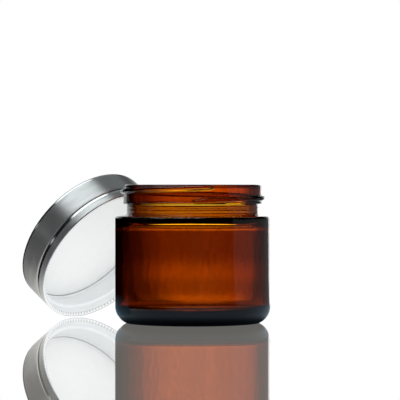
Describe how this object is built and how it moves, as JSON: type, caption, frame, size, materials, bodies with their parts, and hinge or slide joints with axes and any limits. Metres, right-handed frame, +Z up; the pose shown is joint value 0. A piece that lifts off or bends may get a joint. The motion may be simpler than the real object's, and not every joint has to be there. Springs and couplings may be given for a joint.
{
  "type": "cosmetic cream jar",
  "caption": "Squat round amber glass cream jar with a screw neck, open, its aluminium-clad screw lid standing on edge and leaning on it.",
  "frame": {"origin": "centre of the ring the jar stands on, on the table", "axes": "+Z up along the jar's axis; the lid stands on its rim towards -X and +Y, and the open side of the lid faces +X, -Y and down"},
  "size_m": [0.0977, 0.0921, 0.0577],
  "materials": {
    "amber_glass": "clear amber moulded glass, polished",
    "brushed_aluminium": "fine circular satin brushing with one polished groove",
    "white_plastic": "moulded white polypropylene, satin",
    "white_foam": "closed-cell white foam sheet, matt"
  },
  "bodies": {
    "jar": {"jar": "amber_glass"},
    "liner": {"liner": "white_foam"},
    "lid": {"lid_shell": "brushed_aluminium", "inner_cap": "white_plastic"}
  },
  "joints": [
    {"name": "lid_swing", "type": "hinge", "parent": "jar", "child": "liner", "pos_m": [0.0354, -0.03268, 0.01923], "axis": [0.6902, 0.7224, -0.0425], "range_deg": [0, 55.86]},
    {"name": "lid_turn", "type": "hinge", "parent": "liner", "child": "lid", "pos_m": [-0.04296, 0.03628, 0.03195], "axis": [-0.6108, 0.5577, 0.5621], "continuous": true}
  ]
}
